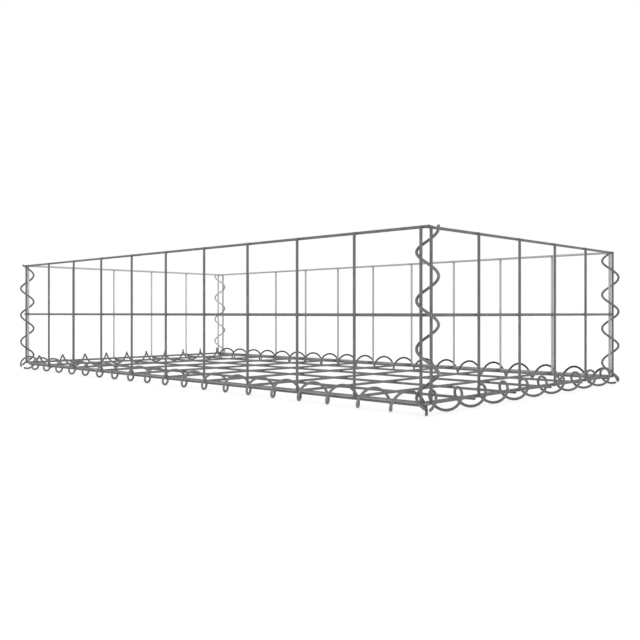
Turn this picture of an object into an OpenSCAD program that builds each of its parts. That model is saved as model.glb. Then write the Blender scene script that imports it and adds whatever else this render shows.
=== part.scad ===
// Open-topped gabion basket: a floor and four sides of welded square mesh, laced along every
// joined edge by a left-handed wire spiral. Millimetres, +Z up, X along the basket's length.
// The origin is on the ground under the middle, and the basket stands on its bottom spirals.

/* [Basket] */
// Length of the mesh between the middles of its edge wires
basket_long = 1000; // [200:50:2000]
// Width of the mesh between the middles of its edge wires
basket_wide = 500; // [200:50:1200]
// Height of the mesh between the middles of its edge wires
basket_high = 200; // [100:50:1000]
// Size of a mesh cell, before it is fitted to a whole number of cells
mesh = 100; // [60:5:150]

/* [Mesh wire] */
// Diameter of the mesh wire
wire_d = 3.7; // [3:0.1:4.5]
// Flat sides that make a mesh wire round
wire_sides = 8; // [6:2:12]
// Depth to which two crossing wires sink into each other at their weld
weld_depth = 0.3; // [0.2:0.1:1]
// Length of a cut wire end past the outside of the edge wire
wire_trim = 0.8; // [0.1:0.1:1]
// Length by which a side's upright wires stop short of the outside of its top and bottom wires
upright_short = 0.6; // [0:0.1:1]

/* [Lacing spirals] */
// Diameter of the spiral wire
spiral_wire_d = 3.5; // [2.5:0.1:4]
// Radius of a spiral from its axis to the middle of its wire
spiral_r = 12.4; // [11:0.1:16]
// Turns of a spiral to a mesh cell
turns_per_cell = 2; // [1:1:2]
// Reach of a bottom spiral's whole turns past the mesh at both ends
bottom_overrun = 11.5; // [8:0.5:14]
// Length cut off a bottom spiral's far end, where the next one starts
bottom_cut = 3; // [3:0.5:8]
// Height of the right-hand bottom spiral above the others, which carry the basket
right_lift = 1.3; // [0:0.1:2]
// Reach of a corner spiral's whole turns past the mesh, if it weren't cut
corner_overrun = 10; // [8:0.5:14]
// Depth of a corner spiral's foot below the middle of the bottom wires
corner_drop = 5.7; // [0:0.1:6]
// Height of a corner spiral's end above the middle of the top wires
corner_rise = 1.1; // [0:0.1:5]
// Place on its loop of a corner spiral at half height, in degrees past the outer diagonal
corner_mid_angle = 7; // [0:1:15]
// Straight lengths that make one turn
spiral_steps = 12; // [12:4:20]
// Flat sides that make a spiral wire round
spiral_sides = 6; // [6:2:8]

/* [Fits] */
// Gap between the floor's wire ends and the sides, and between two sides at a corner
clearance = 0.3; // [0.1:0.1:0.5]
// Gap between a spiral and the upright wire that it bears on
spiral_play = 0.75; // [0.3:0.05:0.8]

/* [Hidden] */
mesh_grey = [0.46, 0.46, 0.45];
spiral_grey = [0.40, 0.41, 0.40];

// Offset between the two layers of crossing wires in a panel
layer = wire_d - weld_depth;
// Reach of a wire end past the middle of its edge wire
wire_end = wire_d / 2 + wire_trim;
// Level of the sides' bottom wires, which is also that of the bottom spirals' axes
base_z = spiral_r + spiral_wire_d / 2;
// From the floor's edge wire out to the level wires and to the upright wires of a side
side_inner = wire_end + clearance + wire_d / 2;
side_outer = side_inner + layer;
// Reach of a side's level wires at their right-hand end, flush with the next side's upright wires
corner_lap = side_outer + wire_d / 2;

// Distance between the middles of a spiral's wire and of the upright wire that it bears on
bearing = (spiral_wire_d + wire_d) / 2 + spiral_play;
// Place on its loop where a bottom spiral crosses the upright wires, in degrees from straight inwards
upright_angle = acos(-layer / spiral_r);
// It bears on the first one, and crosses at a slant, which takes a quarter more room along the edge
upright_seat = 1.25 * bearing;
// A corner spiral's axis, out from a side's edge and past its end, bearing on the side's end wire
corner_depth = 0.3 * side_outer;
corner_reach = sqrt(
    pow(spiral_r * cos(180 / spiral_steps) - bearing, 2) - pow(side_outer - corner_depth, 2)
);

// Whole mesh cells in a length
function cells_in(length) = max(1, round(length / mesh));

// Rise to one turn when the whole turns of a spiral reach this far past the mesh at both ends
function pitch_of(length, overrun) = (length + 2 * overrun) / (turns_per_cell * cells_in(length));

// One straight mesh wire along Z, centred
module wire(length) {
    cylinder(h = length, d = wire_d, center = true, $fn = wire_sides);
}

// Flat panel: wires along X at z = 0 and wires along Y one layer above, fused where they cross.
// The wires along X reach past the edge wire by lap at their +X end, those along Y by rise_end at both.
module welded_panel(size, lap, rise_end) {
    cells = [cells_in(size.x), cells_in(size.y)];
    for (row = [0 : cells.y])
        translate([(lap - wire_end) / 2, (row / cells.y - 1 / 2) * size.y, 0])
            rotate([0, 90, 0])
                wire(size.x + wire_end + lap);
    for (column = [0 : cells.x])
        translate([(column / cells.x - 1 / 2) * size.x, 0, layer])
            rotate([90, 0, 0])
                wire(size.y + 2 * rise_end);
}

// Standing side with its upright wires outside; half_depth is from the middle to the floor's edge wire
module side_panel(length, half_depth, turn) {
    color(mesh_grey)
        rotate([0, 0, turn])
            translate([0, -half_depth - side_inner, base_z + basket_high / 2])
                rotate([90, 0, 0])
                    welded_panel([length, basket_high], corner_lap, wire_d / 2 - upright_short);
}

// Corners of one ring across a spiral's wire, whose middle is at this angle and rise
function ring(angle, rise, lead) = [
    for (side = [0 : spiral_sides - 1])
        let (
            phi = 360 * side / spiral_sides,
            out = spiral_r + spiral_wire_d / 2 * cos(phi),
            across = spiral_wire_d / 2 * sin(phi)
        )
        [
            out * cos(angle) - across * sin(lead) * sin(angle),
            out * sin(angle) + across * sin(lead) * cos(angle),
            rise + across * cos(lead)
        ]
];

// Angles of a spiral's rings: both ends, and whole steps between them, so that loops keep their full reach
function ring_angles(first, last) =
    let (step = 360 / spiral_steps)
    concat(
        [first],
        [
            for (turn = [ceil(first / step) : -1 : floor(last / step)])
                if (first - turn * step > step / 4 && turn * step - last > step / 4) turn * step
        ],
        [last]
    );

// Left-handed spiral that rises along Z: its angle falls from first as it climbs
module spiral(length, pitch, first) {
    last = first - 360 * length / pitch;
    lead = atan2(pitch, 2 * PI * spiral_r);
    angles = ring_angles(first, last);
    steps = len(angles) - 1;
    points = [for (angle = angles) each ring(angle, pitch * (first - angle) / 360, lead)];
    walls = [
        for (step = [0 : steps - 1], side = [0 : spiral_sides - 1])
            let (
                next = (side + 1) % spiral_sides,
                low = step * spiral_sides,
                up = low + spiral_sides
            )
            each [[low + side, up + side, up + next], [low + side, up + next, low + next]]
    ];
    first_cut = [for (side = [0 : spiral_sides - 1]) side];
    last_cut = [for (side = [1 : spiral_sides]) (steps + 1) * spiral_sides - side];
    polyhedron(points, concat(walls, [first_cut, last_cut]));
}

// Spiral round the bottom wire of a side, from past one corner to just short of the next corner's spirals
module bottom_spiral(length, half_depth, turn, lift = 0) {
    pitch = pitch_of(length, bottom_overrun);
    color(spiral_grey)
        rotate([0, 0, turn])
            translate([-length / 2 - bottom_overrun, -half_depth - side_inner, base_z + lift])
                rotate([90, 0, 90])
                    spiral(length + 2 * bottom_overrun - bottom_cut, pitch,
                        upright_angle + 360 * (bottom_overrun + upright_seat) / pitch);
}

// Spiral up the corner at a side's right-hand end, bearing on that side's end wire
module corner_spiral(half_run, half_depth, turn) {
    pitch = pitch_of(basket_high, corner_overrun);
    outer_diagonal = -45;
    color(spiral_grey)
        rotate([0, 0, turn])
            translate([half_run + corner_reach, -half_depth - corner_depth, base_z - corner_drop])
                spiral(basket_high + corner_drop + corner_rise, pitch,
                    outer_diagonal + corner_mid_angle + 360 * (basket_high / 2 + corner_drop) / pitch);
}

// Floor with its long wires underneath and its short wires level with the sides' bottom wires
module floor_panel() {
    color(mesh_grey)
        translate([0, 0, base_z - layer])
            welded_panel([basket_long, basket_wide], wire_end, wire_end);
}

module front_panel() { side_panel(basket_long, basket_wide / 2, 0); }
module right_panel() { side_panel(basket_wide, basket_long / 2, 90); }
module back_panel() { side_panel(basket_long, basket_wide / 2, 180); }
module left_panel() { side_panel(basket_wide, basket_long / 2, 270); }

module front_spiral() { bottom_spiral(basket_long, basket_wide / 2, 0); }
module right_spiral() { bottom_spiral(basket_wide, basket_long / 2, 90, right_lift); }
module back_spiral() { bottom_spiral(basket_long, basket_wide / 2, 180); }
module left_spiral() { bottom_spiral(basket_wide, basket_long / 2, 270); }

module front_right_corner_spiral() { corner_spiral(basket_long / 2, basket_wide / 2, 0); }
module back_right_corner_spiral() { corner_spiral(basket_wide / 2, basket_long / 2, 90); }
module back_left_corner_spiral() { corner_spiral(basket_long / 2, basket_wide / 2, 180); }
module front_left_corner_spiral() { corner_spiral(basket_wide / 2, basket_long / 2, 270); }

floor_panel();
front_panel();
right_panel();
back_panel();
left_panel();
front_spiral();
right_spiral();
back_spiral();
left_spiral();
front_right_corner_spiral();
back_right_corner_spiral();
back_left_corner_spiral();
front_left_corner_spiral();
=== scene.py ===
"""Dresses a packed gabion basket in round galvanised wire.

The welded panels become round wires with pressed welds and sheared ends, and the lacing becomes
smooth left-handed spirals. Lengths are in metres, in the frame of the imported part: X along the
basket, Z up, ground at zero.
"""

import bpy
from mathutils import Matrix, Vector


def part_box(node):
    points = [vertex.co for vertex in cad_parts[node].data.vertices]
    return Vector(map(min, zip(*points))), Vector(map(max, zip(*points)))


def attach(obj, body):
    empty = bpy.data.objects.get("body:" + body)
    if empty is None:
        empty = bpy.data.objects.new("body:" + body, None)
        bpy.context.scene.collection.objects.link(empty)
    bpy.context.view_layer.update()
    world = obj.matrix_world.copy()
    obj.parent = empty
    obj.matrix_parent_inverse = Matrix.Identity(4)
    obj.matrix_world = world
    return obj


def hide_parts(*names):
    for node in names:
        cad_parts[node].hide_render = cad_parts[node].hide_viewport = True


bl_info = {
    "name": "Gabion Basket",
    "version": (1, 0, 0),
    "blender": (4, 5, 0),
    "location": "3D View > Sidebar > Gabion",
    "description": "Welded mesh panels and lacing spirals of an open gabion basket in zinc-coated wire",
    "category": "Add Mesh",
}

import math

import bpy
import numpy as np
from bpy.props import FloatProperty, FloatVectorProperty, IntProperty, PointerProperty
from mathutils import Vector

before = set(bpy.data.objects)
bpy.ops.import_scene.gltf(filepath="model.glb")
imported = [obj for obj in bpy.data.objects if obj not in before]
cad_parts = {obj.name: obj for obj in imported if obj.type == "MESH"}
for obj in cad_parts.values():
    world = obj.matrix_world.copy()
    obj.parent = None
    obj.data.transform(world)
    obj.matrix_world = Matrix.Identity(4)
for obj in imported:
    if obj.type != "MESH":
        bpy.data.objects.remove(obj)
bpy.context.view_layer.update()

BODY = "root"
UP = np.array([0.0, 0.0, 1.0])

# Each side's run, from left to right as seen from outside; its outward direction is run x up
SIDE_RUNS = {
    "front": np.array([1.0, 0.0, 0.0]),
    "right": np.array([0.0, 1.0, 0.0]),
    "back": np.array([-1.0, 0.0, 0.0]),
    "left": np.array([0.0, -1.0, 0.0]),
}
# The corner at the right-hand end of each side
CORNERS = {"front": "front_right", "right": "back_right", "back": "back_left", "left": "front_left"}

# How much lighter the zinc is, from 0 to 1, on the inside of each side's level wires and upright wires.
# In the tables that follow, a side that isn't named has none.
PALE_LEVEL_WIRES = {"front": 0.5, "right": 0.5, "back": 0.5, "left": 0.62}
PALE_UPRIGHT_WIRES = {"front": 0.5, "right": 0.5, "back": 0.7, "left": 1.0}
# Painted light on the outer lower side of a side's bottom wire and of a bottom spiral, and on the floor's
# front wire
PAINTED_LIGHT_BOTTOM_WIRE = {"front": 0.3}
PAINTED_LIGHT_FLOOR_EDGE = 0.08
PAINTED_LIGHT_BOTTOM_SPIRAL = {"front": 0.15}
# On the inside of the spiral at a side's right-hand end, and as painted light on its underside
PALE_CORNER_INSIDE = {"back": 0.8}
PAINTED_LIGHT_CORNER_UNDERSIDE = {"front": 0.18}
# Painted shade, from 0 to 1: inside on the tops of a bottom spiral's turns, and for the spiral at a
# side's right-hand end, on the part of its turns towards the basket's left end
PAINTED_SHADE_BOTTOM_SPIRAL = {"back": 1.0}
PAINTED_SHADE_CORNER_SPIRAL = {"front": 0.25, "left": 0.25}
# How fast the painted shade sets in along a turn, and round the wire
PAINTED_SHADE_ALONG = 2.0
PAINTED_SHADE_ROUND = 4.0

# Places of the rings near a weld, in reaches of its heat
WELD_RINGS = np.array([-2.5, -1.2, -0.6, -0.25, 0.0, 0.25, 0.6, 1.2, 2.5])
# Decimals of a metre to which two rings along a wire count as one
RING_DECIMALS = 7
# A weld bead's rings, its sides and its spread along the two wires
BEAD_RINGS = 5
BEAD_SIDES = 10
BEAD_SPREAD = 0.35
# Half a weld bead's height to the wire's diameter, and its paleness to that of the level wires
BEAD_HEIGHT = 0.3
BEAD_PALENESS = 0.5
# Sheared edge of a spiral's end to the diameter of its wire
SPIRAL_SHEARED = 0.1
# Shift of the wire map from one wire or bead to the next, so that their drawn lines differ
WIRE_SHIFT = 2.3
BEAD_SHIFT = 0.7

# Middle part of a noise that is stretched over its whole range
NOISE_RANGE = (0.3, 0.7)
# Shares of the matt patches and the crystals in the zinc's tone
PATCH_SHARE = 0.72
CRYSTAL_SHARE = 0.28
# Shares of that tone and the drawn lines in the zinc's colour
TONE_SHARE = 0.7
LINE_SHARE = 0.3
# Drawn lines to a metre of wire, and their height to that of the crystals
LINES_ALONG = 14.0
LINE_HEIGHT = 0.8
# Tones between which the zinc goes from its dull to its bright roughness
GLOSS_TONES = (0.1, 0.9)
ZINC_ROUGHNESS = (0.58, 0.42)
# Tones between which a dark mark goes from faint to strong, and the roughness that it adds
MARK_TONES = (0.2, 0.8)
MARK_ROUGHNESS = 0.15
# How closely the bare steel keeps to a cut end
CUT_SHARPNESS = 4.0
ZINC_BUMP = 0.3
ZINC_BUMP_DEPTH = 0.0002
ZINC_METALLIC = 0.45
ZINC_SPECULAR = 0.3

# Brightness of the floor where nothing shades it, a little past white
FLOOR_GLOW = 1.04
# Width of the main lamp as seen from the basket, and the way that its light goes
KEY_WIDTH = math.radians(50)
KEY_WAY = (-0.30, 0.30, -0.91)
SENSOR_WIDTH = 36.0
CAMERA_SHIFT = (0.00522, -0.01084)
CAMERA_PLACE = (1.00027, -0.94358, 0.11636)


class GabionMesh(bpy.types.PropertyGroup):
    """Sizes of the welded mesh."""

    pitch: FloatProperty(
        name="Mesh pitch", description="Wire centre to wire centre", default=0.1, unit="LENGTH")
    wire: FloatProperty(
        name="Wire diameter", description="Diameter of the mesh wire", default=0.0037, unit="LENGTH")
    end: FloatProperty(
        name="Wire end", description="Reach of a wire past the middle of its edge wire", default=0.00265,
        unit="LENGTH")
    upright_short: FloatProperty(
        name="Short uprights", description="From a side's top or bottom to the ends of its upright wires",
        default=0.0006, unit="LENGTH")
    sheared: FloatProperty(
        name="Sheared edge", description="Rounding left round a cut wire end", default=0.0003,
        unit="LENGTH")
    heat: FloatProperty(
        name="Weld heat", description="Reach of a weld's heat along the wire", default=0.004, unit="LENGTH")
    press: FloatProperty(
        name="Weld press", description="Depth of the flat that the weld press leaves", default=0.00025,
        unit="LENGTH")
    bead: FloatProperty(
        name="Weld bead", description="Radius of the metal squeezed out between two wires", default=0.0018,
        unit="LENGTH")
    sides: IntProperty(name="Wire sides", description="Faces round a mesh wire", default=16, min=8)


class GabionSpirals(bpy.types.PropertyGroup):
    """Sizes of the lacing spirals."""

    wire: FloatProperty(
        name="Wire diameter", description="Diameter of the spiral wire", default=0.0035, unit="LENGTH")
    radius: FloatProperty(
        name="Spiral radius", description="Axis to the middle of the wire", default=0.0124, unit="LENGTH")
    turns: IntProperty(name="Turns to a cell", description="Turns of a spiral to a mesh cell", default=2)
    bottom_overrun: FloatProperty(
        name="Bottom overrun", description="Reach of a bottom spiral's whole turns past the mesh",
        default=0.0115, unit="LENGTH")
    bottom_cut: FloatProperty(
        name="Bottom cut", description="Length cut off a bottom spiral's far end", default=0.003,
        unit="LENGTH")
    seat: FloatProperty(
        name="Seat", description="From the first upright wire to the spiral that bears on it",
        default=0.0054375, unit="LENGTH")
    corner_overrun: FloatProperty(
        name="Corner overrun", description="Reach of a corner spiral's whole turns past the mesh",
        default=0.01, unit="LENGTH")
    corner_drop: FloatProperty(
        name="Corner drop", description="Foot of a corner spiral below the bottom wires", default=0.0057,
        unit="LENGTH")
    corner_rise: FloatProperty(
        name="Corner rise", description="Top of a corner spiral above the top wires", default=0.0011,
        unit="LENGTH")
    corner_angle: FloatProperty(
        name="Corner angle", description="Place on the loop at half height, past the outer diagonal",
        default=math.radians(7), subtype="ANGLE")
    sides: IntProperty(name="Wire sides", description="Faces round a spiral wire", default=12, min=6)
    steps: IntProperty(name="Steps to a turn", description="Faces along one turn", default=48, min=12)


class GabionFinish(bpy.types.PropertyGroup):
    """Colours of the zinc-coated wire, among them a tone that is partly painted light and one of painted
    shade.
    """

    bright: FloatVectorProperty(
        name="Bright zinc", description="Freshly coated zinc", default=(0.228, 0.229, 0.219),
        subtype="COLOR", size=3, min=0.0, max=1.0)
    dull: FloatVectorProperty(
        name="Dull zinc", description="Zinc that has gone matt", default=(0.130, 0.131, 0.125),
        subtype="COLOR", size=3, min=0.0, max=1.0)
    # Pale tone for the inside of the sides; on the bottom wires, the floor's front wire and the spirals'
    # lower sides it is painted light
    pale: FloatVectorProperty(
        name="Pale zinc", description="Pale zinc, mostly inside the basket, and painted light on some lower sides",
        default=(0.80, 0.81, 0.80), subtype="COLOR", size=3, min=0.0, max=1.0)
    # Painted shade, laid on parts of some spiral turns
    painted_shade: FloatVectorProperty(
        name="Painted shade", description="Painted shade on parts of a spiral's turns",
        default=(0.040, 0.040, 0.038), subtype="COLOR", size=3, min=0.0, max=1.0)
    scorched: FloatVectorProperty(
        name="Scorched zinc", description="Zinc burnt grey round a weld", default=(0.125, 0.123, 0.118),
        subtype="COLOR", size=3, min=0.0, max=1.0)
    steel: FloatVectorProperty(
        name="Cut steel", description="Bare steel on a sheared end", default=(0.20, 0.185, 0.17),
        subtype="COLOR", size=3, min=0.0, max=1.0)


class GabionStage(bpy.types.PropertyGroup):
    """Floor, light and camera."""

    floor: FloatProperty(name="Floor size", description="Side of the floor", default=60.0, unit="LENGTH")
    paper: FloatProperty(
        name="Floor shade", description="Light that the floor throws back", default=0.85,
        subtype="FACTOR", min=0.0, max=1.0)
    shadow: FloatProperty(
        name="Floor shadow", description="Depth of the shadow that the floor shows", default=0.25,
        subtype="FACTOR", min=0.0, max=1.0)
    sky: FloatProperty(name="Sky light", description="Even light from all round", default=0.95)
    key: FloatProperty(name="Key light", description="Strength of the main lamp", default=0.25)
    lens: FloatProperty(
        name="Lens", description="Focal length on a 36 mm sensor", default=41.81, unit="CAMERA")
    yaw: FloatProperty(
        name="Camera turn", description="Camera's turn about the upright", default=math.radians(44.1107),
        subtype="ANGLE")


def box_of(node):
    """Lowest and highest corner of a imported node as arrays."""
    low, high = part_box(node)
    return np.array(low), np.array(high)


def grid_faces(batch, rings, sides):
    """Corner indices of a batch of closed tubes.

    A wall is the quad (i, s) (i, s+1) (i+1, s+1) (i+1, s) of ring i and side s, and each tube has an end
    cap on its first ring and on its last.
    """
    tube = np.arange(batch * rings * sides).reshape(batch, rings, sides)
    turned = np.roll(tube, -1, axis=2)
    walls = np.stack([tube[:, :-1], turned[:, :-1], turned[:, 1:], tube[:, 1:]], axis=-1)
    caps = np.concatenate([tube[:, 0, ::-1], tube[:, -1]])
    return walls.reshape(-1, 4), caps


def grid_uv(batch, rings, sides, along):
    """Map of a batch of tubes: u is the share of the way round, v the distance along in metres."""
    shape = (batch, rings - 1, sides)
    step = np.arange(sides)
    round_at = np.stack([step, step + 1, step + 1, step], axis=-1) / sides
    along_at = np.stack([along[:, :-1], along[:, :-1], along[:, 1:], along[:, 1:]], axis=-1)
    walls = np.stack([
        np.broadcast_to(round_at, (*shape, 4)),
        np.broadcast_to(along_at[:, :, None], (*shape, 4)),
    ], axis=-1)
    cap_round = np.broadcast_to(step / sides, (2 * batch, sides))
    cap_along = np.broadcast_to(np.concatenate([along[:, 0], along[:, -1]])[:, None], (2 * batch, sides))
    caps = np.stack([cap_round, cap_along], axis=-1)
    return walls.reshape(-1, 2), caps.reshape(-1, 2)


def make_piece(name, tubes, material, node):
    """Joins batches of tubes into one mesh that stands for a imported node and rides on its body.

    A batch holds points [tube, ring, side, xyz], along [tube, ring] and masks that spread over
    [tube, ring, side].
    """
    points, corners, counts, uvs, smooth = [], [], [], [], []
    masks = {key: [] for key in tubes[0]["masks"]}
    first = 0
    for batch in tubes:
        shape = batch["points"].shape[:3]
        walls, caps = grid_faces(*shape)
        corners += [walls.ravel() + first, caps.ravel() + first]
        counts += [np.full(len(walls), 4), np.full(len(caps), shape[2])]
        smooth += [np.ones(len(walls), bool), np.zeros(len(caps), bool)]
        uvs += grid_uv(*shape, batch["along"])
        points.append(batch["points"].reshape(-1, 3))
        for key, values in masks.items():
            values.append(np.broadcast_to(batch["masks"][key], shape).ravel())
        first += math.prod(shape)

    mesh = bpy.data.meshes.new(name)
    count = np.concatenate(counts)
    corner = np.concatenate(corners)
    mesh.vertices.add(first)
    mesh.vertices.foreach_set("co", np.concatenate(points).astype(np.float32).ravel())
    mesh.loops.add(len(corner))
    mesh.loops.foreach_set("vertex_index", corner.astype(np.int32))
    mesh.polygons.add(len(count))
    mesh.polygons.foreach_set("loop_start", (np.cumsum(count) - count).astype(np.int32))
    mesh.polygons.foreach_set("use_smooth", np.concatenate(smooth))
    mesh.update(calc_edges=True)
    layer = mesh.uv_layers.new(name="wire")
    layer.uv.foreach_set("vector", np.concatenate(uvs).astype(np.float32).ravel())
    for key, values in masks.items():
        attribute = mesh.attributes.new(key, "FLOAT", "POINT")
        attribute.data.foreach_set("value", np.concatenate(values).astype(np.float32))
    if mesh.validate():
        raise RuntimeError(f"{name} has faces that don't hold together")
    mesh.materials.append(material)

    piece = bpy.data.objects.new(name, mesh)
    bpy.context.scene.collection.objects.link(piece)
    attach(piece, BODY)
    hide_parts(node)
    return piece


def panel_grid(node, run, rise, sizes):
    """Places of a packed panel's wires: columns along run, rows along rise, and the two layers along out.

    A panel's run starts with a wire's end, and may reach further at the other. Its rise ends alike on
    both sides, with half of what whole cells leave over.
    """
    out = np.cross(run, rise)
    corners = np.stack(box_of(node)) @ np.stack([run, rise, out], axis=1)
    low, high = corners.min(axis=0), corners.max(axis=0)
    run_cells, rise_cells = np.floor((high - low)[:2] / sizes.pitch).astype(int)
    spare = (high[1] - low[1] - rise_cells * sizes.pitch) / 2
    columns = low[0] + sizes.end + sizes.pitch * np.arange(run_cells + 1)
    rows = low[1] + spare + sizes.pitch * np.arange(rise_cells + 1)
    layers = (low[2] + sizes.wire / 2, high[2] - sizes.wire / 2)
    return columns, rows, layers, low, high


def crossing_stations(crossings, low, high, sizes):
    """Places of the rings along a wire: close together at each weld, and at both sheared ends."""
    near_welds = crossings[:, None] + WELD_RINGS * sizes.heat
    near_welds = np.clip(near_welds, low + sizes.sheared, high - sizes.sheared)
    return np.unique(np.concatenate([near_welds.ravel(), [low, high]]).round(RING_DECIMALS))


def straight_wires(starts, along, side, out, crossings, low, high, pale, sizes):
    """Parallel round wires, pressed flat at their welds.

    Point(w, s, a) = start_w + s along + r(s) cos a side + max(r(s) sin a, p(s)) out, with s from low to
    high. r is the wire's radius, less the sheared edge at both ends. p is -r, raised by the press depth
    times the weld mask exp(-(d / heat)^2), and d is the distance to the nearest crossing wire. The
    pale mask is the part of cos a side + sin a out that points along the wire's own pale_w; on an edge
    wire it is painted light.
    """
    s = crossing_stations(crossings, low, high, sizes)
    a = 2 * np.pi * np.arange(sizes.sides) / sizes.sides
    distance = np.abs(s[:, None] - crossings).min(axis=1)
    weld = np.exp(-(distance / sizes.heat) ** 2)
    cut = (s <= s[0]) | (s >= s[-1])
    r = sizes.wire / 2 - sizes.sheared * cut
    flat = -r + sizes.press * weld
    level = np.maximum(r[:, None] * np.sin(a), flat[:, None])
    across = r[:, None] * np.cos(a)
    local = s[:, None, None] * along + across[..., None] * side + level[..., None] * out
    facing = np.outer(pale @ side, np.cos(a)) + np.outer(pale @ out, np.sin(a))
    return {
        "points": starts[:, None, None, :] + local,
        "along": s + WIRE_SHIFT * np.arange(len(starts))[:, None],
        "masks": {
            "weld": weld[:, None],
            "cut": cut[:, None].astype(float),
            "pale": np.maximum(facing, 0.0)[:, None],
        },
    }


def weld_beads(middles, run, rise, out, pale, sizes):
    """Metal squeezed out between two crossing wires, as a saddle.

    Point(b, v, a) = middle_b + h v out + q(v, a) (cos a run + sin a rise), with v from -1 to 1 and
    q = bead (1 - spread v^2) (1 - spread v cos 2a), so each end of the bead spreads along its own wire.
    """
    height = BEAD_HEIGHT * sizes.wire
    v = np.linspace(-1, 1, BEAD_RINGS)
    a = 2 * np.pi * np.arange(BEAD_SIDES) / BEAD_SIDES
    q = sizes.bead * (1 - BEAD_SPREAD * v[:, None] ** 2) * (1 - BEAD_SPREAD * v[:, None] * np.cos(2 * a))
    local = (q * np.cos(a))[..., None] * run + (q * np.sin(a))[..., None] * rise
    local = local + (height * v)[:, None, None] * out
    return {
        "points": middles[:, None, None, :] + local,
        "along": height * v + BEAD_SHIFT * np.arange(len(middles))[:, None],
        "masks": {"weld": 1.0, "cut": 0.0, "pale": pale},
    }


def panel_tubes(node, run, rise, short, pale_level, pale_upright, painted_light_edge, sizes):
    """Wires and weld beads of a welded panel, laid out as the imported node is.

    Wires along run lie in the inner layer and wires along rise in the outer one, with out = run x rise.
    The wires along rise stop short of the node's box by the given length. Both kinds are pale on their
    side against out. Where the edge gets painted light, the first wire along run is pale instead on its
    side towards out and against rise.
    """
    out = np.cross(run, rise)
    columns, rows, layers, low, high = panel_grid(node, run, rise, sizes)
    level_sides = np.tile(-pale_level * out, (len(rows), 1))
    # Painted light on the first level wire, on its side towards out and against rise
    if painted_light_edge > 0:
        level_sides[0] = painted_light_edge * (out - rise) / math.sqrt(2)
    upright_sides = np.tile(-pale_upright * out, (len(columns), 1))
    level = straight_wires(
        rows[:, None] * rise + layers[0] * out, run, rise, out, columns, low[0], high[0],
        level_sides, sizes)
    upright = straight_wires(
        columns[:, None] * run + layers[1] * out, rise, run, -out, rows, low[1] + short, high[1] - short,
        upright_sides, sizes)
    crossings = columns[:, None, None] * run + rows[None, :, None] * rise + sum(layers) / 2 * out
    beads = weld_beads(crossings.reshape(-1, 3), run, rise, out, BEAD_PALENESS * pale_level, sizes)
    return [level, upright, beads]


def spiral_axis(node, first, second):
    """Axis of a packed spiral, seen end on: the circle |p|^2 = 2 a.p + c fitted to its corners."""
    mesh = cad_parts[node].data
    corners = np.empty(len(mesh.vertices) * 3)
    mesh.vertices.foreach_get("co", corners)
    flat = corners.reshape(-1, 3) @ np.stack([first, second], axis=1)
    rows = np.column_stack([2 * flat, np.ones(len(flat))])
    a, b, _ = np.linalg.lstsq(rows, (flat ** 2).sum(axis=1), rcond=None)[0]
    return a * first + b * second


def spiral_tube(foot, axis, first, second, length, pitch, start, pale, dark, sizes):
    """One left-handed spiral of round wire from foot along axis.

    The wire's middle is foot + t length axis + R e, where e = cos a first + sin a second and
    a = start - 2 pi t length / pitch. The ring across the wire is r (cos b e + sin b n), where n is
    square to e and to the wire. Both ends are sheared. The pale mask is the part of the ring's direction
    that points along pale; where pale points down it is painted light. The painted shade mask is the part
    of e along dark, scaled by how fast the shade sets in along a turn, times the part of the ring's
    direction along first, scaled by how fast it sets in round the wire, each held from 0 to 1.
    """
    turns = length / pitch
    path = turns * math.hypot(pitch, 2 * np.pi * sizes.radius)
    edge = SPIRAL_SHEARED * sizes.wire / path
    t = np.linspace(0, 1, math.ceil(turns * sizes.steps) + 1)
    t = np.concatenate([[0, edge], t[1:-1], [1 - edge, 1]])
    cut = ((t == 0) | (t == 1)).astype(float)
    a = (start - 2 * np.pi * turns * t)[:, None]
    e = np.cos(a) * first + np.sin(a) * second
    round_way = np.cos(a) * second - np.sin(a) * first
    lead = math.atan2(pitch, 2 * np.pi * sizes.radius)
    n = math.cos(lead) * axis + math.sin(lead) * round_way
    b = (2 * np.pi * np.arange(sizes.sides) / sizes.sides)[:, None]
    ring = np.cos(b) * e[:, None] + np.sin(b) * n[:, None]
    r = sizes.wire * (0.5 - SPIRAL_SHEARED * cut)
    middle = foot + (length * t)[:, None] * axis + sizes.radius * e
    # Painted shade: darker where the turn points along dark and the wire's side along first
    painted_shade_turn = np.clip(PAINTED_SHADE_ALONG * e @ dark, 0.0, 1.0)
    painted_shade_side = np.clip(PAINTED_SHADE_ROUND * ring @ first, 0.0, 1.0)
    return {
        "points": (middle[:, None] + r[:, None, None] * ring)[None],
        "along": (path * t)[None],
        "masks": {
            "painted_shade": painted_shade_turn[:, None] * painted_shade_side,
            "cut": cut[:, None],
            "pale": np.maximum(ring @ pale, 0.0),
        },
    }


def put(tree, kind, sockets=None, **settings):
    """Adds a shader node. Each socket gets a value, or the output that feeds it."""
    node = tree.nodes.new("ShaderNode" + kind)
    for key, value in settings.items():
        setattr(node, key, value)
    for key, value in (sockets or {}).items():
        if isinstance(value, bpy.types.NodeSocket):
            tree.links.new(value, node.inputs[key])
        else:
            node.inputs[key].default_value = value
    return node


def maths(tree, operation, first, second):
    """Output of one Math node."""
    return put(tree, "Math", {0: first, 1: second}, operation=operation).outputs[0]


def remap(tree, value, low, high, new_low, new_high):
    """Output of a clamped Map Range node."""
    return put(tree, "MapRange", {
        "Value": value, "From Min": low, "From Max": high, "To Min": new_low, "To Max": new_high,
    }).outputs["Result"]


def blend_colour(tree, factor, first, second):
    """Colour output of a Mix node, whose colours are its inputs 6 and 7."""
    return put(tree, "Mix", {0: factor, 6: first, 7: second}, data_type="RGBA").outputs[2]


def mask_of(tree, name):
    """Output of one of the piece's masks."""
    return put(tree, "Attribute", attribute_name=name).outputs["Fac"]


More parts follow.
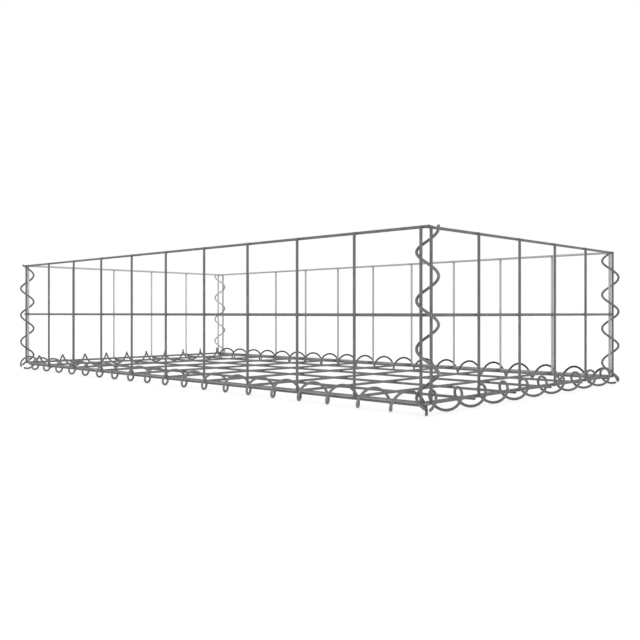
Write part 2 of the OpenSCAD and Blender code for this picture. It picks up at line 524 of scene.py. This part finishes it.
def new_group(name, inputs, outputs):
    """Starts a shader node group with named sockets: (tree, group input, group output)."""
    tree = bpy.data.node_groups.new(name, "ShaderNodeTree")
    for label, kind in inputs:
        tree.interface.new_socket(name=label, in_out="INPUT", socket_type=kind)
    for label, kind in outputs:
        tree.interface.new_socket(name=label, in_out="OUTPUT", socket_type=kind)
    return tree, tree.nodes.new("NodeGroupInput"), tree.nodes.new("NodeGroupOutput")


def zinc_bloom_group():
    """Uneven zinc: soft matt patches with a faint frost of crystals over them."""
    tree, given, result = new_group(
        "zinc bloom",
        [
            ("Vector", "NodeSocketVector"),
            ("Patch Scale", "NodeSocketFloat"),
            ("Crystal Scale", "NodeSocketFloat"),
        ],
        [("Tone", "NodeSocketFloat"), ("Height", "NodeSocketFloat")],
    )
    patches = put(tree, "TexNoise", {
        "Vector": given.outputs["Vector"], "Scale": given.outputs["Patch Scale"],
        "Detail": 4.0, "Roughness": 0.6,
    })
    crystals = put(tree, "TexVoronoi", {
        "Vector": given.outputs["Vector"], "Scale": given.outputs["Crystal Scale"], "Randomness": 1.0,
    })
    grain = put(tree, "SeparateColor", {"Color": crystals.outputs["Color"]}).outputs[0]
    patch = remap(tree, patches.outputs["Fac"], *NOISE_RANGE, 0.0, PATCH_SHARE)
    tone = maths(tree, "ADD", patch, maths(tree, "MULTIPLY", grain, CRYSTAL_SHARE))
    tree.links.new(tone, result.inputs["Tone"])
    tree.links.new(maths(tree, "ADD", grain, patches.outputs["Fac"]), result.inputs["Height"])
    return tree


def drawn_lines_group():
    """Fine lines that the drawing die leaves along a wire, in the wire's own map."""
    tree, given, result = new_group(
        "drawn lines",
        [
            ("Wire Map", "NodeSocketVector"),
            ("Lines Round", "NodeSocketFloat"),
            ("Lines Along", "NodeSocketFloat"),
        ],
        [("Line", "NodeSocketFloat")],
    )
    stretch = put(tree, "CombineXYZ", {
        "X": given.outputs["Lines Round"], "Y": given.outputs["Lines Along"], "Z": 0.0,
    })
    place = put(tree, "VectorMath", {
        0: given.outputs["Wire Map"], 1: stretch.outputs[0],
    }, operation="MULTIPLY")
    lines = put(tree, "TexNoise", {
        "Vector": place.outputs[0], "Scale": 1.0, "Detail": 2.0, "Roughness": 0.5,
    }, noise_dimensions="2D")
    tree.links.new(remap(tree, lines.outputs["Fac"], *NOISE_RANGE, 0.0, 1.0), result.inputs["Line"])
    return tree


def opaque(colour):
    """Colour property as four numbers."""
    return (*colour, 1.0)


def zinc_material(name, patch_scale, crystal_scale, lines_round, mark, mark_colour, faint, strong):
    """Zinc on drawn wire, pale on one mask, partly as painted light, dark on another and bare on sheared
    ends.

    The dark mark is a mask of the piece, weld scorch on the mesh wire and painted shade on the spiral
    wire, and shows between faint and strong as the zinc's tone goes up.
    """
    colours = bpy.context.scene.gabion_finish
    material = bpy.data.materials.new(name)
    material.use_nodes = True
    tree = material.node_tree
    shader = tree.nodes["Principled BSDF"]
    groups = bpy.data.node_groups
    bloom = put(tree, "Group", node_tree=groups.get("zinc bloom") or zinc_bloom_group())
    tree.links.new(put(tree, "TexCoord").outputs["Object"], bloom.inputs["Vector"])
    bloom.inputs["Patch Scale"].default_value = patch_scale
    bloom.inputs["Crystal Scale"].default_value = crystal_scale
    drawn = put(tree, "Group", node_tree=groups.get("drawn lines") or drawn_lines_group())
    tree.links.new(put(tree, "UVMap", uv_map="wire").outputs["UV"], drawn.inputs["Wire Map"])
    drawn.inputs["Lines Round"].default_value = lines_round
    drawn.inputs["Lines Along"].default_value = LINES_ALONG

    tone, line = bloom.outputs["Tone"], drawn.outputs["Line"]
    mixed = maths(
        tree, "ADD", maths(tree, "MULTIPLY", tone, TONE_SHARE), maths(tree, "MULTIPLY", line, LINE_SHARE))
    colour = blend_colour(tree, mixed, opaque(colours.dull), opaque(colours.bright))
    roughness = remap(tree, tone, *GLOSS_TONES, *ZINC_ROUGHNESS)
    # Pale zinc on the pale mask; on the bottom wires, the floor's front wire and the spirals' lower sides
    # it is painted light
    colour = blend_colour(tree, mask_of(tree, "pale"), colour, opaque(colours.pale))
    # Weld scorch on the mesh wire, painted shade on the spiral wire
    ragged = maths(tree, "MULTIPLY", mask_of(tree, mark), remap(tree, tone, *MARK_TONES, faint, strong))
    colour = blend_colour(tree, ragged, colour, opaque(mark_colour))
    roughness = maths(tree, "ADD", roughness, maths(tree, "MULTIPLY", ragged, MARK_ROUGHNESS))
    bare = maths(tree, "POWER", mask_of(tree, "cut"), CUT_SHARPNESS)
    colour = blend_colour(tree, bare, colour, opaque(colours.steel))
    height = maths(tree, "ADD", bloom.outputs["Height"], maths(tree, "MULTIPLY", line, LINE_HEIGHT))
    bump = put(tree, "Bump", {"Strength": ZINC_BUMP, "Distance": ZINC_BUMP_DEPTH, "Height": height})
    tree.links.new(colour, shader.inputs["Base Color"])
    tree.links.new(roughness, shader.inputs["Roughness"])
    tree.links.new(bump.outputs["Normal"], shader.inputs["Normal"])
    shader.inputs["Metallic"].default_value = ZINC_METALLIC
    shader.inputs["Specular IOR Level"].default_value = ZINC_SPECULAR
    return material


def mesh_zinc():
    """Finish of the mesh wire, scorched at its welds, made once."""
    name = "zinc mesh wire"
    scorched = bpy.context.scene.gabion_finish.scorched
    return bpy.data.materials.get(name) or zinc_material(
        name, patch_scale=70.0, crystal_scale=420.0, lines_round=26.0,
        mark="weld", mark_colour=scorched, faint=0.1, strong=0.35)


def spiral_zinc():
    """Finish of the spiral wire, with painted shade on parts of some turns, made once."""
    name = "zinc spiral wire"
    painted_shade = bpy.context.scene.gabion_finish.painted_shade
    return bpy.data.materials.get(name) or zinc_material(
        name, patch_scale=95.0, crystal_scale=520.0, lines_round=20.0,
        mark="painted_shade", mark_colour=painted_shade, faint=0.75, strong=0.95)


class GABION_OT_floor_panel(bpy.types.Operator):
    """Lay the welded floor: long wires underneath, short wires on top"""

    bl_idname = "gabion.floor_panel"
    bl_label = "Floor Panel"

    def execute(self, context):
        # The floor's front wire gets painted light on its side towards the top and the front
        tubes = panel_tubes(
            "floor_panel", SIDE_RUNS["front"], SIDE_RUNS["right"], short=0.0, pale_level=0.0,
            pale_upright=0.0, painted_light_edge=PAINTED_LIGHT_FLOOR_EDGE, sizes=context.scene.gabion_mesh)
        make_piece("floor_panel_wires", tubes, mesh_zinc(), "floor_panel")
        return {"FINISHED"}


class GABION_OT_side_panels(bpy.types.Operator):
    """Stand the four welded sides: level wires inside, upright wires outside"""

    bl_idname = "gabion.side_panels"
    bl_label = "Side Panels"

    def execute(self, context):
        sizes = context.scene.gabion_mesh
        for side, run in SIDE_RUNS.items():
            node = f"{side}_panel"
            # Listed sides get painted light on the outer lower side of their bottom wire
            tubes = panel_tubes(
                node, run, UP, sizes.upright_short, PALE_LEVEL_WIRES[side], PALE_UPRIGHT_WIRES[side],
                PAINTED_LIGHT_BOTTOM_WIRE.get(side, 0.0), sizes)
            make_piece(f"{node}_wires", tubes, mesh_zinc(), node)
        return {"FINISHED"}


class GABION_OT_bottom_spirals(bpy.types.Operator):
    """Lace the floor to each side with a spiral along the bottom edge"""

    bl_idname = "gabion.bottom_spirals"
    bl_label = "Bottom Spirals"

    def execute(self, context):
        mesh, sizes = context.scene.gabion_mesh, context.scene.gabion_spirals
        for side, run in SIDE_RUNS.items():
            node = f"{side}_spiral"
            inward = np.cross(UP, run)
            columns, _, layers, _, _ = panel_grid(f"{side}_panel", run, UP, mesh)
            whole = columns[-1] - columns[0] + 2 * sizes.bottom_overrun
            pitch = whole / (sizes.turns * (len(columns) - 1))
            axis = spiral_axis(node, inward, UP)
            at_uprights = math.acos((-layers[1] - axis @ inward) / sizes.radius)
            start = at_uprights + 2 * math.pi * (sizes.bottom_overrun + sizes.seat) / pitch
            foot = axis + (columns[0] - sizes.bottom_overrun) * run
            length = whole - sizes.bottom_cut
            # Painted light on the outer lower side of the listed bottom spirals
            pale = -PAINTED_LIGHT_BOTTOM_SPIRAL.get(side, 0.0) * (inward + UP) / math.sqrt(2)
            # Painted shade inside on the tops of the listed bottom spirals' turns
            dark = PAINTED_SHADE_BOTTOM_SPIRAL.get(side, 0.0) * UP
            tube = spiral_tube(foot, run, inward, UP, length, pitch, start, pale, dark, sizes)
            make_piece(f"{node}_wire", [tube], spiral_zinc(), node)
        return {"FINISHED"}


class GABION_OT_corner_spirals(bpy.types.Operator):
    """Lace each pair of sides with a spiral up the corner"""

    bl_idname = "gabion.corner_spirals"
    bl_label = "Corner Spirals"

    def execute(self, context):
        mesh, sizes = context.scene.gabion_mesh, context.scene.gabion_spirals
        leftwards = -SIDE_RUNS["front"]
        outer_diagonal = -math.pi / 4
        for side, run in SIDE_RUNS.items():
            node = f"{CORNERS[side]}_corner_spiral"
            inward = np.cross(UP, run)
            _, rows, _, _, _ = panel_grid(f"{side}_panel", run, UP, mesh)
            high = rows[-1] - rows[0]
            pitch = (high + 2 * sizes.corner_overrun) / (sizes.turns * (len(rows) - 1))
            half_way = outer_diagonal + sizes.corner_angle
            start = half_way + 2 * math.pi * (high / 2 + sizes.corner_drop) / pitch
            foot = spiral_axis(node, run, inward) + (rows[0] - sizes.corner_drop) * UP
            length = high + sizes.corner_drop + sizes.corner_rise
            pale_inside = PALE_CORNER_INSIDE.get(side, 0.0) * (inward - run) / math.sqrt(2)
            # Painted light on the underside of the listed corner spirals' turns
            pale = pale_inside - PAINTED_LIGHT_CORNER_UNDERSIDE.get(side, 0.0) * UP
            # Painted shade on the part of each turn towards the basket's left end
            dark = PAINTED_SHADE_CORNER_SPIRAL.get(side, 0.0) * leftwards
            tube = spiral_tube(foot, UP, run, inward, length, pitch, start, pale, dark, sizes)
            make_piece(f"{node}_wire", [tube], spiral_zinc(), node)
        return {"FINISHED"}


def seen_directly(tree):
    """One for camera, glossy and transmission rays, which see the white surroundings, else nought."""
    rays = put(tree, "LightPath")
    shiny = maths(tree, "MAXIMUM", rays.outputs["Is Glossy Ray"], rays.outputs["Is Transmission Ray"])
    return maths(tree, "MAXIMUM", rays.outputs["Is Camera Ray"], shiny)


def paper_material(shade, shadow):
    """White paper: it throws back its shade of light, looks white and keeps a faint shadow."""
    material = bpy.data.materials.new("white paper")
    material.use_nodes = True
    tree = material.node_tree
    tree.nodes.clear()
    bounce = put(tree, "BsdfDiffuse", {"Color": (shade, shade, shade, 1.0)})
    shaded = put(tree, "BsdfDiffuse", {"Color": (shadow, shadow, shadow, 1.0)})
    glow = put(tree, "Emission", {"Strength": FLOOR_GLOW - shadow})
    white = put(tree, "AddShader", {0: shaded.outputs[0], 1: glow.outputs[0]})
    shown = put(tree, "MixShader", {0: seen_directly(tree), 1: bounce.outputs[0], 2: white.outputs[0]})
    put(tree, "OutputMaterial", {"Surface": shown.outputs[0]})
    return material


def white_world(sky):
    """Even studio light that shows as pure white behind the object."""
    world = bpy.data.worlds.new("studio")
    world.use_nodes = True
    tree = world.node_tree
    tree.nodes.clear()
    light = put(tree, "Background", {"Color": (1.0, 1.0, 1.0, 1.0), "Strength": sky})
    white = put(tree, "Background", {"Color": (1.0, 1.0, 1.0, 1.0), "Strength": 1.0})
    shown = put(tree, "MixShader", {0: seen_directly(tree), 1: light.outputs[0], 2: white.outputs[0]})
    put(tree, "OutputWorld", {"Surface": shown.outputs[0]})
    return world


class GABION_OT_stage(bpy.types.Operator):
    """Set the white floor, the soft light and the camera"""

    bl_idname = "gabion.stage"
    bl_label = "Stage"

    def execute(self, context):
        scene = context.scene
        stage = scene.gabion_stage
        half = stage.floor / 2
        mesh = bpy.data.meshes.new("floor")
        corners = [(-half, -half, 0), (half, -half, 0), (half, half, 0), (-half, half, 0)]
        mesh.from_pydata(corners, [], [(0, 1, 2, 3)])
        mesh.materials.append(paper_material(stage.paper, stage.shadow))
        floor = bpy.data.objects.new("floor", mesh)
        scene.collection.objects.link(floor)
        scene.world = white_world(stage.sky)
        scene.view_settings.view_transform = "Standard"

        lamp = bpy.data.lights.new("key", "SUN")
        lamp.energy = stage.key
        lamp.angle = KEY_WIDTH
        key = bpy.data.objects.new("key", lamp)
        key.rotation_euler = Vector(KEY_WAY).to_track_quat("-Z", "Y").to_euler()
        scene.collection.objects.link(key)

        optics = bpy.data.cameras.new("camera")
        optics.lens = stage.lens
        optics.sensor_width = SENSOR_WIDTH
        optics.shift_x, optics.shift_y = CAMERA_SHIFT
        camera = bpy.data.objects.new("camera", optics)
        camera.location = CAMERA_PLACE
        camera.rotation_euler = (math.pi / 2, 0.0, stage.yaw)
        scene.collection.objects.link(camera)
        scene.camera = camera
        return {"FINISHED"}


class GABION_PT_sidebar(bpy.types.Panel):
    """Sizes and steps of the gabion basket"""

    bl_label = "Gabion Basket"
    bl_idname = "GABION_PT_sidebar"
    bl_space_type = "VIEW_3D"
    bl_region_type = "UI"
    bl_category = "Gabion"

    def draw(self, context):
        for group in GROUPS:
            box = self.layout.box()
            settings = getattr(context.scene, group)
            for name in settings.__annotations__:
                box.prop(settings, name)
        for operator in OPERATORS:
            self.layout.operator(operator.bl_idname)


GROUPS = {
    "gabion_mesh": GabionMesh,
    "gabion_spirals": GabionSpirals,
    "gabion_finish": GabionFinish,
    "gabion_stage": GabionStage,
}
OPERATORS = (
    GABION_OT_stage,
    GABION_OT_floor_panel,
    GABION_OT_side_panels,
    GABION_OT_bottom_spirals,
    GABION_OT_corner_spirals,
)


def register():
    """Adds the settings, the operators and the panel."""
    for item in (*GROUPS.values(), *OPERATORS, GABION_PT_sidebar):
        bpy.utils.register_class(item)
    for name, group in GROUPS.items():
        setattr(bpy.types.Scene, name, PointerProperty(type=group))


def unregister():
    """Takes away what register adds."""
    for name in GROUPS:
        delattr(bpy.types.Scene, name)
    for item in (GABION_PT_sidebar, *reversed(OPERATORS), *reversed(GROUPS.values())):
        bpy.utils.unregister_class(item)


def main():
    """Builds the basket and its stage."""
    register()
    bpy.ops.gabion.stage()
    bpy.ops.gabion.floor_panel()
    bpy.ops.gabion.side_panels()
    bpy.ops.gabion.bottom_spirals()
    bpy.ops.gabion.corner_spirals()


if __name__ == "__main__":
    main()
